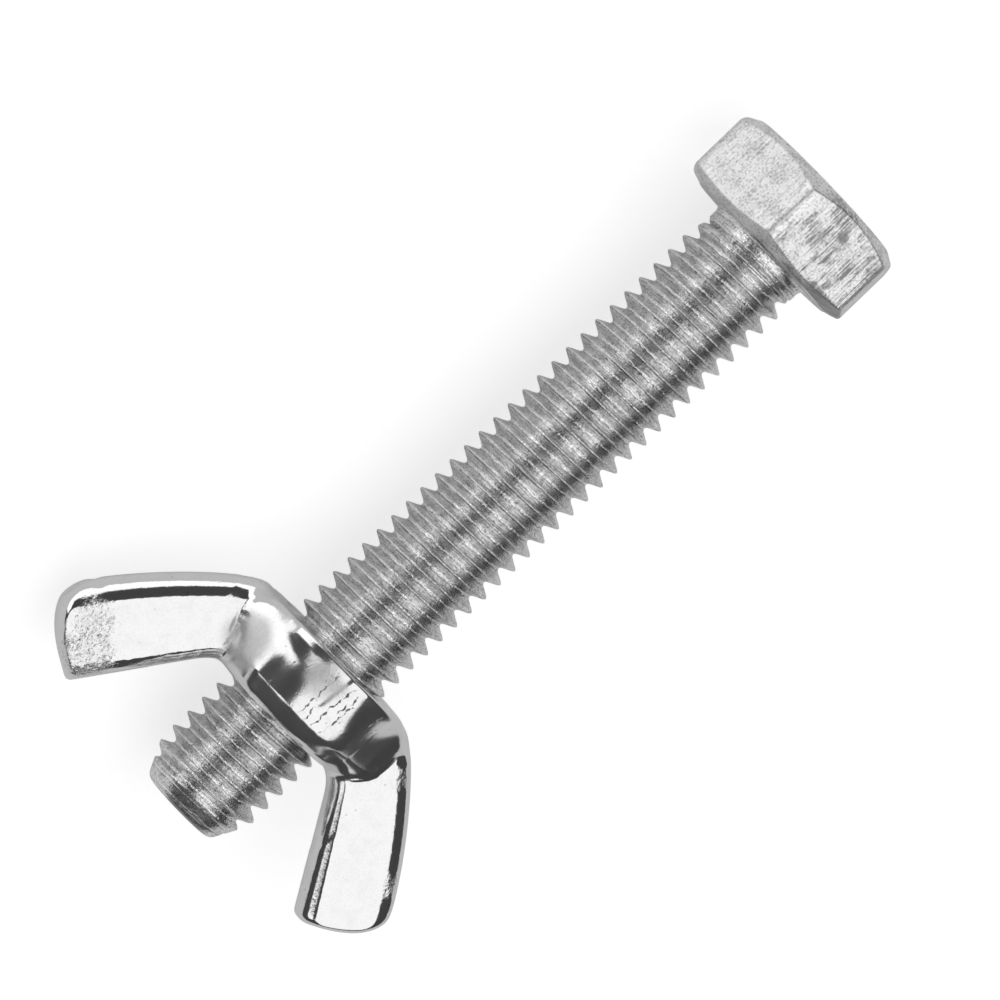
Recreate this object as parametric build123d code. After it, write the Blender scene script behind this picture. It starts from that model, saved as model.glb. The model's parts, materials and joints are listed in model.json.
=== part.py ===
from build123d import *
from math import asin, cos, degrees, pi, radians, sin, sqrt, tan
import os

# Hex bolt M8 x 50, threaded up to its head, with a forged wing nut near its tip.
# Millimetres, +Z up. The bolt lies on a flat of its head, with its shank along +X.
# Origin: on the surface that it lies on, under the middle of the bolt's length.

# ---- Thread, shared by the bolt and the nut ----
PITCH = 1.25
CREST_RADIUS = 3.9
ROOT_RADIUS = 3.06
THREAD_CLEARANCE = 0.08
THREAD_START = 0.7
STEPS_PER_TURN = 24

# ---- Shank ----
SHANK_LENGTH = 50.0
NECK_RADIUS = 3.6
NECK_LENGTH = 1.1
RUNOUT_ANGLE = 24.0
TIP_RADIUS = 2.72
TIP_CHAMFER_ANGLE = 27.0
UNDER_HEAD_RADIUS = 0.4

# ---- Hexagonal head ----
ACROSS_FLATS = 12.8
HEAD_HEIGHT = 5.4
HEX_EDGE_RADIUS = 0.35
WASHER_FACE_RADIUS = 5.6
WASHER_FACE_HEIGHT = 0.2
UNDERSIDE_ANGLE = 25.0
TOP_FACE_RADIUS = 5.65
TOP_CHAMFER_ANGLE = 30.0

# ---- Wing nut: hub ----
NUT_TO_HEAD = 36.4
NUT_TURN = 10.0
BASE_RADIUS = 6.05
BASE_EDGE = 0.25
BASE_HEIGHT = 0.6
HUB_FOOT_RADIUS = 5.2
FLARE_HEIGHT = 2.6
HUB_TOP_RADIUS = 4.95
HUB_HEIGHT = 5.6
HUB_TOP_EDGE = 0.4
COUNTERSINK = 0.35

# ---- Wing nut: wings, in the plane of radius and height ----
WING_THICKNESS = 3.1
WING_RIM_RADIUS = 1.35
WING_FOOT_HEIGHT = 0.1
KNEE_SHARE = 0.62
KNEE_BULGE = 0.71
WING_TIP_RADIUS = 14.95
WING_TIP_HEIGHT = 9.1
WING_TOP_RADIUS = 10.7
WING_TOP_HEIGHT = 13.1
FOOT_BULGE = 0.43
FOOT_STEPS = 3
END_EDGE_BULGE = 0.7
TIP_CORNER_RADIUS = 0.9
TOP_CORNER_RADIUS = 0.7
INNER_EDGE_ANGLE = 56.0
CREASE_RADIUS = 1.0
ROOT_BLEND_RADIUS = 1.3
WING_SKEW = 1.5

# ---- Worked out from the sizes above ----
BORE_RADIUS = CREST_RADIUS + THREAD_CLEARANCE
HEX_CORNER_RADIUS = ACROSS_FLATS / 2 / cos(radians(30))
BEYOND = 2.0


def turned(*points):
    """A solid of revolution about Z, from a closed outline of radius and height."""
    return revolve(make_face(Plane.XZ * Polyline(*points, close=True)), Axis.Z)


def fall(run, angle):
    """How far a cone of this angle to the horizontal falls over a run of radius."""
    return run * tan(radians(angle))


# ---------------------------------------------------------------- the bolt


def helix_point(radius, step):
    """A point of a right-hand helix, counted in steps of a turn from the +X side."""
    angle = 2 * pi * step / STEPS_PER_TURN
    return Vector(radius * cos(angle), radius * sin(angle), PITCH * step / STEPS_PER_TURN)


def facet(*corners):
    return Face(Wire.make_polygon(corners, close=True))


def threaded_rod(turns):
    """A rod with a V thread in flat facets. A turn of ramp and an upright gate close either end."""
    up = Vector(0, 0, PITCH)
    turn_facets = []
    ramp = []
    for step in range(STEPS_PER_TURN):
        axis, next_axis = helix_point(0, step), helix_point(0, step + 1)
        crest, next_crest = helix_point(CREST_RADIUS, step), helix_point(CREST_RADIUS, step + 1)
        root = helix_point(ROOT_RADIUS, step) + up / 2
        next_root = helix_point(ROOT_RADIUS, step + 1) + up / 2
        turn_facets += [
            facet(crest, next_crest, next_root),
            facet(crest, next_root, root),
            facet(root, next_root, next_crest + up),
            facet(root, next_crest + up, crest + up),
        ]
        ramp += [facet(axis, next_axis, next_crest), facet(axis, next_crest, crest)]
    crest = helix_point(CREST_RADIUS, 0)
    root = helix_point(ROOT_RADIUS, 0) + up / 2
    axis_points = [helix_point(0, step) for step in range(STEPS_PER_TURN, -1, -1)]
    gate = facet(crest, root, crest + up, *axis_points)
    faces = []
    for turn in range(turns):
        faces += [face.moved(Location(up * turn)) for face in turn_facets]
    for turn in (0, turns):
        faces += [face.moved(Location(up * turn)) for face in (*ramp, gate)]
    return Solid(Shell(faces))


def make_shank():
    """The shank above Z = 0: a plain neck, the run-out, the thread and a lead chamfer."""
    spare = 2 * PITCH
    turns = int((SHANK_LENGTH + 2 * spare) / PITCH) + 1
    rod = Pos(0, 0, THREAD_START - spare) * threaded_rod(turns)
    outside = CREST_RADIUS + BEYOND
    far_end = SHANK_LENGTH + 3 * spare

    lead_length = (outside - TIP_RADIUS) / tan(radians(TIP_CHAMFER_ANGLE))
    beyond_tip = turned(
        (0, SHANK_LENGTH),
        (TIP_RADIUS, SHANK_LENGTH),
        (outside, SHANK_LENGTH - lead_length),
        (outside, far_end),
        (0, far_end),
    )
    runout_length = (outside - NECK_RADIUS) / tan(radians(RUNOUT_ANGLE))
    over_neck = turned(
        (0, 0),
        (NECK_RADIUS, 0),
        (NECK_RADIUS, NECK_LENGTH),
        (outside, NECK_LENGTH + runout_length),
        (outside, -2 * spare),
        (0, -2 * spare),
    )
    neck = turned(
        (0, -HEAD_HEIGHT / 2),
        (NECK_RADIUS + UNDER_HEAD_RADIUS, -HEAD_HEIGHT / 2),
        (NECK_RADIUS + UNDER_HEAD_RADIUS, 0),
        (NECK_RADIUS, UNDER_HEAD_RADIUS),
        (NECK_RADIUS, NECK_LENGTH),
        (0, NECK_LENGTH),
    )
    return rod - beyond_tip - over_neck + neck


def make_head():
    """The head below Z = 0: washer face, sloped underside, six flats and a chamfered top."""
    hexagon = RegularPolygon(HEX_CORNER_RADIUS, 6, rotation=30)
    prism = extrude(fillet(hexagon.vertices(), HEX_EDGE_RADIUS), -HEAD_HEIGHT)
    outside = HEX_CORNER_RADIUS + BEYOND
    envelope = turned(
        (0, 0),
        (WASHER_FACE_RADIUS, 0),
        (WASHER_FACE_RADIUS, -WASHER_FACE_HEIGHT),
        (outside, -WASHER_FACE_HEIGHT - fall(outside - WASHER_FACE_RADIUS, UNDERSIDE_ANGLE)),
        (outside, -HEAD_HEIGHT + fall(outside - TOP_FACE_RADIUS, TOP_CHAMFER_ANGLE)),
        (TOP_FACE_RADIUS, -HEAD_HEIGHT),
        (0, -HEAD_HEIGHT),
    )
    return prism & envelope


# ---------------------------------------------------------------- the wing nut


def nearest(vertices, point):
    return min(vertices, key=lambda vertex: (vertex.center() - point).length)


def outward_of(start, end):
    """The direction out to the right of a line."""
    return Vector(end.Y - start.Y, start.X - end.X).normalized()


def bulged(start, end, bulge, steps):
    """Evenly spaced points of an arc that stands out to the right of its chord."""
    chord = end - start
    outward = outward_of(start, end)
    radius = (chord.length**2 / 4 + bulge**2) / (2 * bulge)
    centre = (start + end) / 2 - outward * (radius - bulge)
    sweep = 2 * degrees(asin(chord.length / 2 / radius))
    turned_by = [sweep * step / steps for step in range(steps + 1)]
    return [centre + (start - centre).rotate(Axis.Z, angle) for angle in turned_by]


def carried_on(point, direction, radius):
    """Where a line from this point reaches this radius."""
    return point + direction * ((radius - point.X) / direction.X)


def wing_outlines():
    """The wing's own outline, and that of the longer bar whose rims are rounded."""
    foot = Vector(BASE_RADIUS - BASE_EDGE, WING_FOOT_HEIGHT)
    tip = Vector(WING_TIP_RADIUS, WING_TIP_HEIGHT)
    knee = foot + (tip - foot) * KNEE_SHARE + outward_of(foot, tip) * KNEE_BULGE
    top = Vector(WING_TOP_RADIUS, WING_TOP_HEIGHT)
    rise = Vector(1, 0).rotate(Axis.Z, INNER_EDGE_ANGLE)
    inner = top - rise * ((WING_TOP_HEIGHT - HUB_HEIGHT) / rise.Y)
    hub_top = Vector(BORE_RADIUS, HUB_HEIGHT)
    hub_foot = Vector(BORE_RADIUS, WING_FOOT_HEIGHT)
    root = Polyline(inner, hub_top, hub_foot, foot)

    outer = [*bulged(foot, knee, FOOT_BULGE, FOOT_STEPS), tip]
    end_edge = ThreePointArc(*bulged(tip, top, END_EDGE_BULGE, 2))
    outline = make_face([*Polyline(*outer).edges(), end_edge, Line(top, inner), *root.edges()])
    outline = fillet(nearest(outline.vertices(), inner), CREASE_RADIUS)
    outline = fillet(nearest(outline.vertices(), tip), TIP_CORNER_RADIUS)
    outline = fillet(nearest(outline.vertices(), top), TOP_CORNER_RADIUS)

    far = WING_TIP_RADIUS + 2 * BEYOND
    far_tip = carried_on(tip, outer[-1] - outer[-2], far)
    far_top = carried_on(top, rise, far)
    bar = make_face([*Polyline(*outer[:-1], far_tip, far_top, inner).edges(), *root.edges()])
    return outline, fillet(nearest(bar.vertices(), inner), CREASE_RADIUS)


def make_wing():
    """The wing on the +X side: a thick bar with rounded rims, cut square at its end."""
    outline, bar_outline = wing_outlines()
    half = WING_THICKNESS / 2
    plate = extrude(Plane.XZ * outline, half, both=True)
    bar = extrude(Plane.XZ * bar_outline, half, both=True)
    rims = bar.edges()
    for axis in (Axis.X, Axis.Y, Axis.Z):
        rims = rims.filter_by(axis, reverse=True)
    return plate & fillet(rims, WING_RIM_RADIUS)


def make_swell():
    """Where each wing leaves the hub, the hub swells into it with a hollow curve on both faces."""
    web = Circle(HUB_TOP_RADIUS) + Rectangle(4 * BASE_RADIUS, WING_THICKNESS)
    corners = web.vertices().filter_by(lambda vertex: abs(vertex.X) < BASE_RADIUS)
    web = fillet(corners, ROOT_BLEND_RADIUS)
    blend_centre = HUB_TOP_RADIUS + ROOT_BLEND_RADIUS
    reach = sqrt(blend_centre**2 - (WING_THICKNESS / 2 + ROOT_BLEND_RADIUS) ** 2)
    return extrude(web & Rectangle(2 * reach, 2 * BASE_RADIUS), HUB_HEIGHT)


def make_nut():
    """The nut with its bearing face at Z = 0 and its wings up: forged in one, then bored."""
    hub = turned(
        (0, 0),
        (BASE_RADIUS - BASE_EDGE, 0),
        (BASE_RADIUS, BASE_EDGE),
        (BASE_RADIUS, BASE_HEIGHT),
        (HUB_FOOT_RADIUS, FLARE_HEIGHT),
        (HUB_TOP_RADIUS, HUB_HEIGHT - HUB_TOP_EDGE),
        (HUB_TOP_RADIUS - HUB_TOP_EDGE, HUB_HEIGHT),
        (0, HUB_HEIGHT),
    )
    wing = make_wing()
    wings = Pos(0, 0, HUB_HEIGHT / 2) * Rot(0, -WING_SKEW, 0) * Pos(0, 0, -HUB_HEIGHT / 2)
    blank = hub + make_swell() + wings * wing + wings * Rot(0, 0, 180) * wing
    mouth = BORE_RADIUS + COUNTERSINK
    bore = turned(
        (0, -BEYOND),
        (mouth, -BEYOND),
        (mouth, 0),
        (BORE_RADIUS, COUNTERSINK),
        (BORE_RADIUS, HUB_HEIGHT - COUNTERSINK),
        (mouth, HUB_HEIGHT),
        (mouth, HUB_HEIGHT + BEYOND),
        (0, HUB_HEIGHT + BEYOND),
    )
    return blank - bore


# ---------------------------------------------------------------- laid on its side

lying = Pos((HEAD_HEIGHT - SHANK_LENGTH) / 2, 0, ACROSS_FLATS / 2) * Rot(0, 90, 0)
bolt = lying * (make_head() + make_shank())
nut = lying * Pos(0, 0, NUT_TO_HEAD) * Rot(0, 0, 90 + NUT_TURN) * make_nut()

os.makedirs("parts", exist_ok=True)
export_step(bolt, "parts/hex_bolt.step")
export_step(nut, "parts/wing_nut.step")
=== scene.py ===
# %% [markdown]
# # A hex bolt with a wing nut
# The real thing is two pieces of zinc-plated steel: a rolled bolt, drawn and satin, and a nut that was
# hammered hot in a die and then plated bright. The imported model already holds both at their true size, and
# its thread is cut in flat facets. Here each piece gets the smooth, slightly worn skin of the real one.
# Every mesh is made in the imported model's own frame, in metres, so nothing has to be fitted afterwards.
# Small sizes are written in millimetres, and MM turns them into metres.

# %% Load the frame
import json
from math import cos, pi, radians, sin, tan

import bmesh
import bpy
import numpy as np
from mathutils import Matrix, Vector, noise


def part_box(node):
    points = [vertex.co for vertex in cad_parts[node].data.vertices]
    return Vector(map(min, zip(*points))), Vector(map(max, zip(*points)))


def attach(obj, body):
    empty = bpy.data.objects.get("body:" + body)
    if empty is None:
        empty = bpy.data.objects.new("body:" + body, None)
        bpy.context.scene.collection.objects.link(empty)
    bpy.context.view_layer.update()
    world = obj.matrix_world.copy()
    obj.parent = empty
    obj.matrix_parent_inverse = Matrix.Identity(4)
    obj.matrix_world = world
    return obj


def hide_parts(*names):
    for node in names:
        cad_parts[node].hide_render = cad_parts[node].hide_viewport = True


MM = 0.001

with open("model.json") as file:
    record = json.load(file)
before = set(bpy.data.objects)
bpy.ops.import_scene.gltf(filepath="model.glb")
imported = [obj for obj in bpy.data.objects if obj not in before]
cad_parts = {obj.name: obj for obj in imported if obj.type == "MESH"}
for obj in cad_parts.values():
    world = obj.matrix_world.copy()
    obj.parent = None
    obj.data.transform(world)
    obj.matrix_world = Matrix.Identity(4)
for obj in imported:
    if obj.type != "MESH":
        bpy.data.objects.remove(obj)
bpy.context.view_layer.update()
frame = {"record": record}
bolt_low, bolt_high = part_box("hex_bolt")
mounts = {mount["name"]: mount for mount in frame["record"]["mounts"]}

AXIS_Z = (bolt_low.z + bolt_high.z) / 2
HEAD_TOP_X = bolt_low.x
TIP_X = bolt_high.x
BEARING_X = mounts["head_bearing_face"]["pos_m"][0]
NUT_X = mounts["nut_bearing_face"]["pos_m"][0]
ALONG = Vector((1, 0, 0))
ON_AXIS = Vector((0, 0, AXIS_Z))
print("head", round(BEARING_X - HEAD_TOP_X, 4), "shank", round(TIP_X - BEARING_X, 4), "axis", AXIS_Z)

# %% [markdown]
# ## The camera
# A small shiny thing is looked at from close by with a long lens, so that its far end isn't dwarfed by its
# near end. The camera stands over the shank, leans back towards the observer, and is rolled until the bolt
# runs from the lower left up to its head at the upper right. Its three axes are worked out first and then
# put in one matrix, because three angles one after another would be harder to read.

# %% Camera
VIEW_ELEVATION = radians(63)
VIEW_ROLL = radians(43.82)
VIEW_DISTANCE = 0.4
VIEW_WIDTH = 61.9 * MM
VIEW_LEAN = 0.011
VIEW_ALONG = 22.48 * MM
VIEW_RISE = 0.07 * MM

to_camera = Vector((0, -cos(VIEW_ELEVATION), sin(VIEW_ELEVATION)))
across = Vector((0, sin(VIEW_ELEVATION), cos(VIEW_ELEVATION)))
image_right = -cos(VIEW_ROLL) * ALONG + sin(VIEW_ROLL) * across
image_up = -sin(VIEW_ROLL) * ALONG - cos(VIEW_ROLL) * across
back = (to_camera - VIEW_LEAN * ALONG).normalized()
image_right = (image_right - back * image_right.dot(back)).normalized()
image_up = back.cross(image_right)

lens = bpy.data.cameras.new("camera")
lens.sensor_fit = "HORIZONTAL"
lens.angle = 2 * np.arctan(VIEW_WIDTH / 2 / VIEW_DISTANCE)
lens.clip_start = 0.01
camera = bpy.data.objects.new("camera", lens)
look_at = Vector((BEARING_X + VIEW_ALONG, 0, AXIS_Z)) + across * VIEW_RISE
camera.matrix_world = Matrix.Translation(look_at + back * VIEW_DISTANCE) @ Matrix(
    (image_right, image_up, back)
).transposed().to_4x4()
bpy.context.scene.collection.objects.link(camera)
bpy.context.scene.camera = camera
bpy.context.scene.view_settings.view_transform = "Standard"
print("camera", [round(value, 4) for value in camera.location])

# %% [markdown]
# ## The floor and the lights
# Polished metal shows what stands around it, so the studio is part of the finish. Two large soft lamps, one
# overhead and one low in front, leave a dim gap between them, and that gap is what draws the dark bands
# down every round surface. A third, smaller lamp stands beyond the tip and lights what is turned that way.
# The floor is plain and pale, and it is lifted to near white only for rays that come from the camera or
# from a reflection, so the lamps can stay at a plain level.

# %% Floor
FLOOR_SIZE = 3.0

floor_mesh = bpy.data.meshes.new("floor")
bm = bmesh.new()
bmesh.ops.create_grid(bm, x_segments=1, y_segments=1, size=FLOOR_SIZE / 2)
bm.to_mesh(floor_mesh)
bm.free()
floor = bpy.data.objects.new("floor", floor_mesh)
bpy.context.scene.collection.objects.link(floor)
print("floor", FLOOR_SIZE, "m wide")

# %% Pale paint for the floor
FLOOR_TONE = 0.62
FLOOR_LIFT = 0.68
MIRRORED_LIFT = 0.19


def new_material(name):
    """An empty material, and the tree that its nodes go in."""
    material = bpy.data.materials.new(name)
    material.use_nodes = True
    material.node_tree.nodes.clear()
    return material, material.node_tree


def add(tree, kind, **settings):
    """A node of this kind. Settings with a capital letter are sockets, the rest are properties."""
    node = tree.nodes.new(kind)
    for name, value in settings.items():
        if name[0].isupper():
            node.inputs[name.replace("_", " ")].default_value = value
        else:
            setattr(node, name, value)
    return node


material, tree = new_material("pale_floor")
path = add(tree, "ShaderNodeLightPath")
seen = add(tree, "ShaderNodeMath", operation="MULTIPLY")
seen.inputs[1].default_value = FLOOR_LIFT
lift = add(tree, "ShaderNodeMath", operation="MULTIPLY_ADD")
lift.inputs[1].default_value = MIRRORED_LIFT
paint = add(tree, "ShaderNodeBsdfDiffuse", Color=(FLOOR_TONE,) * 3 + (1,))
glow = add(tree, "ShaderNodeEmission")
both = add(tree, "ShaderNodeAddShader")
out = add(tree, "ShaderNodeOutputMaterial")
tree.links.new(path.outputs["Is Camera Ray"], seen.inputs[0])
tree.links.new(path.outputs["Is Glossy Ray"], lift.inputs[0])
tree.links.new(seen.outputs[0], lift.inputs[2])
tree.links.new(lift.outputs[0], glow.inputs["Strength"])
tree.links.new(paint.outputs[0], both.inputs[0])
tree.links.new(glow.outputs[0], both.inputs[1])
tree.links.new(both.outputs[0], out.inputs["Surface"])
floor_mesh.materials.append(material)
print("pale_floor nodes", len(tree.nodes))

# %% Lamps and world
LAMP_DISTANCE = 0.6
LAMP_RADIANCE = 1.07
WORLD_LEVEL = 0.06


def soft_lamp(name, first, last, length, shift=0.0, turn=0.0, level=1.0):
    """A softbox that fills the arc over the bolt between two angles, from the front horizon.

    It is shifted along the bolt in metres, and turned about its own middle in degrees.
    """
    middle, half = radians(first + last) / 2, radians(last - first) / 2
    towards = Vector((0, -cos(middle), sin(middle)))
    data = bpy.data.lights.new(name, "AREA")
    data.shape = "RECTANGLE"
    data.size = length
    data.size_y = 2 * LAMP_DISTANCE * tan(half)
    data.energy = level * LAMP_RADIANCE * pi * data.size * data.size_y
    lamp = bpy.data.objects.new(name, data)
    place = ON_AXIS + towards * LAMP_DISTANCE + ALONG * shift
    axes = Matrix((ALONG, towards.cross(ALONG), towards)).transposed()
    lamp.matrix_world = Matrix.Translation(place) @ axes.to_4x4() @ Matrix.Rotation(radians(turn), 4, "Z")
    bpy.context.scene.collection.objects.link(lamp)
    return lamp


lamps = [
    soft_lamp("lamp_overhead", 69, 135, 1.3, shift=-0.05),
    soft_lamp("lamp_front", 0, 34, 2.25, shift=-0.775, level=1.15),
    soft_lamp("lamp_tip_side", 38, 66, 0.3, shift=0.6, turn=30),
]
print("lamps", [(lamp.name, round(lamp.data.energy, 2)) for lamp in lamps])

world = bpy.data.worlds.new("studio")
world.use_nodes = True
world.node_tree.nodes["Background"].inputs["Color"].default_value = (1, 1, 1, 1)
world.node_tree.nodes["Background"].inputs["Strength"].default_value = WORLD_LEVEL
bpy.context.scene.world = world

# %% [markdown]
# ## Helpers for shaping
# Each piece starts from an operator, such as a spin, that gives a clean grid of faces. Then whole arrays of
# vertices are moved at once by a formula of their place along the bolt and their distance from its axis.
# Cutting the forms out with booleans would also do, but it leaves slivers that show in bright metal.

# %% Outlines, spins, cuts and caps


def add_outline(bm, start_x, places, closed=False):
    """Points under the axis, each given as run and radius in millimetres, with edges from one to the next."""
    points = [bm.verts.new((start_x + run * MM, 0, AXIS_Z - radius * MM)) for run, radius in places]
    for pair in zip(points, points[1:] + points[:1] if closed else points[1:]):
        bm.edges.new(pair)


def spin_round(bm, steps, turns=1, climb=0.0):
    """Spins an outline round the axis. A climb, in millimetres for each turn, makes it a thread."""
    bmesh.ops.spin(
        bm,
        geom=bm.verts[:] + bm.edges[:],
        cent=ON_AXIS,
        axis=ALONG,
        dvec=ALONG * (climb * MM / steps),
        angle=2 * pi * turns,
        steps=steps * turns,
        use_merge=not climb,
    )


def cut_ends(bm, first_x, last_x):
    """Cuts square across the bolt's length at both places, and drops what lies outside them."""
    for place_x, normal in ((first_x, -ALONG), (last_x, ALONG)):
        bmesh.ops.bisect_plane(
            bm,
            geom=bm.verts[:] + bm.edges[:] + bm.faces[:],
            dist=0.001 * MM,
            plane_co=ALONG * place_x,
            plane_no=normal,
            clear_outer=True,
        )


def cap_holes(bm):
    """Closes every open rim with a face, and gives those faces."""
    rims = [edge for edge in bm.edges if edge.is_boundary]
    return bmesh.ops.holes_fill(bm, edges=rims, sides=0)["faces"]


# %% Finished pieces


def finish_piece(name, bm):
    """Makes the object from a bmesh, at the origin, with its place in its mesh."""
    bmesh.ops.recalc_face_normals(bm, faces=bm.faces)
    mesh = bpy.data.meshes.new(name)
    bm.to_mesh(mesh)
    bm.free()
    mesh.polygons.foreach_set("use_smooth", [True] * len(mesh.polygons))
    piece = bpy.data.objects.new(name, mesh)
    bpy.context.scene.collection.objects.link(piece)
    return piece


def triangles(piece):
    """How many triangles a piece has once every face is split."""
    return sum(len(face.vertices) - 2 for face in piece.data.polygons)


# %% Moving many points at once


def read_points(mesh):
    """All the points of a mesh, as one array."""
    points = np.zeros(len(mesh.vertices) * 3)
    mesh.vertices.foreach_get("co", points)
    return points.reshape(-1, 3)


def write_points(mesh, points):
    """Puts an array of points back in their mesh."""
    mesh.vertices.foreach_set("co", points.ravel())
    mesh.update()


def to_round(points, start_x):
    """Splits points into run along the bolt, radius and angle from straight down, in millimetres."""
    run = (points[:, 0] - start_x) / MM
    down = -(points[:, 2] - AXIS_Z) / MM
    side = points[:, 1] / MM
    return run, np.hypot(down, side), np.arctan2(side, down)


def from_round(run, radius, angle, start_x):
    """The reverse of to_round."""
    side, down = radius * np.sin(angle) * MM, radius * np.cos(angle) * MM
    return np.stack([start_x + run * MM, side, AXIS_Z - down], axis=1)


def soft_min(a, b, width):
    """The smaller of two arrays, with the corner between them rounded over this width."""
    near = np.maximum(width - np.abs(a - b), 0) / width
    return np.minimum(a, b) - near * near * width / 4


def soft_max(a, b, width):
    """The larger of two arrays, with the corner between them rounded in the same way."""
    return -soft_min(-a, -b, width)


def smooth_step(low, high, value):
    """A rise from 0 to 1 with soft ends, while the value goes from low to high."""
    t = np.clip((value - low) / (high - low), 0, 1)
    return t * t * (3 - 2 * t)


# %% [markdown]
# ## The shank
# A rolled thread is one ridge wound round the bolt. One turn is a spin of a single pitch of its profile
# that climbs by a pitch as it goes round, and copies of that turn stack up along the bolt. A profile swept
# along a drawn helix would tilt as it went, while a spin keeps it upright and its pitch exact. The thread is
# made longer than the shank. Then every vertex outside the run-out cone or the lead chamfer is drawn in.

# %% One turn of thread
PITCH = 1.25
CREST_RADIUS = 3.9
ROOT_RADIUS = 3.08
CREST_HALF = 0.055
ROOT_HALF = 0.1
CREST_LIMIT = CREST_RADIUS + 0.01
THREAD_START = 0.7
PROFILE_STEPS = 12
TURN_STEPS = 120
ROUNDING = 0.16
WELD = 0.002 * MM
SHANK_LENGTH = (TIP_X - BEARING_X) / MM


def thread_radius(phase):
    """The radius of the rolled profile, where phase 0 is a crest and 0.5 a root."""
    away = np.abs((phase + 0.5) % 1 - 0.5)
    flank = (0.5 - ROOT_HALF - away) / (0.5 - ROOT_HALF - CREST_HALF)
    radius = ROOT_RADIUS + (CREST_RADIUS - ROOT_RADIUS) * flank
    return soft_max(soft_min(radius, CREST_LIMIT, ROUNDING), ROOT_RADIUS, ROUNDING)


first_run = THREAD_START - 2 * PITCH
turns = int((SHANK_LENGTH + 4 * PITCH) / PITCH) + 1
phases = [step / PROFILE_STEPS for step in range(PROFILE_STEPS + 1)]
profile = [(first_run + PITCH * phase, float(thread_radius(np.array(phase)))) for phase in phases]
bm = bmesh.new()
add_outline(bm, BEARING_X, profile)
spin_round(bm, TURN_STEPS, climb=PITCH)
turn_geometry = bm.verts[:] + bm.edges[:] + bm.faces[:]
for turn in range(1, turns):
    copy = bmesh.ops.duplicate(bm, geom=turn_geometry)
    moved = [item for item in copy["geom"] if isinstance(item, bmesh.types.BMVert)]
    bmesh.ops.translate(bm, verts=moved, vec=ALONG * (turn * PITCH * MM))
bmesh.ops.remove_doubles(bm, verts=bm.verts, dist=WELD)
print("thread turns", turns, "faces", len(bm.faces))

# %% Run-out and lead chamfer
NECK_RADIUS = 3.6
NECK_LENGTH = 1.1
NECK_CHAMFER = 0.25
RUNOUT_START = 1.5
RUNOUT_ANGLE = radians(17)
TIP_RADIUS = 2.72
TIP_CHAMFER_ANGLE = radians(27)
TIP_EDGE = 0.3
TIP_EDGE_SHARE = 0.96
SHANK_ROUNDING = 0.06


def shank_limit(run):
    """How far out the shank may reach at each place along it."""
    lead = TIP_RADIUS + (SHANK_LENGTH - run) * tan(TIP_CHAMFER_ANGLE)
    runout = NECK_RADIUS + (run - RUNOUT_START) * tan(RUNOUT_ANGLE)
    corner = np.clip((run - SHANK_LENGTH + TIP_EDGE) / TIP_EDGE, 0, 1)
    return np.minimum(lead, runout) - TIP_EDGE * (1 - np.sqrt(1 - corner * corner * TIP_EDGE_SHARE))


cut_ends(bm, BEARING_X + (NECK_LENGTH - NECK_CHAMFER) * MM, BEARING_X + SHANK_LENGTH * MM)
thread_mesh = bpy.data.meshes.new("thread")
bm.to_mesh(thread_mesh)
bm.free()
points = read_points(thread_mesh)
run, radius, angle = to_round(points, BEARING_X)
radius = soft_min(radius, shank_limit(run), SHANK_ROUNDING)
write_points(thread_mesh, from_round(run, radius, angle, BEARING_X))
print("shank from", round(float(run.min()), 2), "to", round(float(run.max()), 2), "mm under the head")

# %% Ends of the shank
TIP_DISH, TIP_DEPTH = 0.35, 0.1

bm = bmesh.new()
bm.from_mesh(thread_mesh)
bpy.data.meshes.remove(thread_mesh)
tip_face = max(cap_holes(bm), key=lambda face: face.calc_center_median().x)
bmesh.ops.inset_region(bm, faces=[tip_face], thickness=TIP_DISH * MM)
bmesh.ops.inset_region(bm, faces=[tip_face], thickness=TIP_DISH * MM)
bmesh.ops.translate(bm, verts=list(tip_face.verts), vec=ALONG * (-TIP_DEPTH * MM))
thread_piece = finish_piece("thread", bm)
print("thread triangles", triangles(thread_piece))

# %% [markdown]
# ## The head
# A bolt head starts as a round blank, and the die presses it into a hexagon with a turned chamfer. The mesh
# follows the same order: the round blank is a spin, and then everything outside the hexagon is drawn in
# to it, with a soft corner where the flats meet each other and the cones. A six-sided prism with bevels
# would lack the arc where a turned cone runs out over each flat.

# %% Round blank of the head
ACROSS_FLATS = (bolt_high.z - bolt_low.z) / MM
HEAD_HEIGHT = (BEARING_X - HEAD_TOP_X) / MM
HEX_CORNER = ACROSS_FLATS / 2 / cos(radians(30))
WASHER_FACE_RADIUS, WASHER_FACE_HEIGHT, WASHER_FACE_BEVEL = 5.62, 0.06, 0.1
UNDER_EDGE_RADIUS, UNDER_EDGE_HEIGHT = 6.05, 0.18
UNDERSIDE_ANGLE = radians(19)
TOP_FACE_RADIUS = 5.65
TOP_CHAMFER_ANGLE = radians(30)
UNDER_HEAD_RADIUS = 0.4
HEAD_STEPS = 240
HEAD_SPACING = 0.14
PIN_HOLE = 0.02


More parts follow.
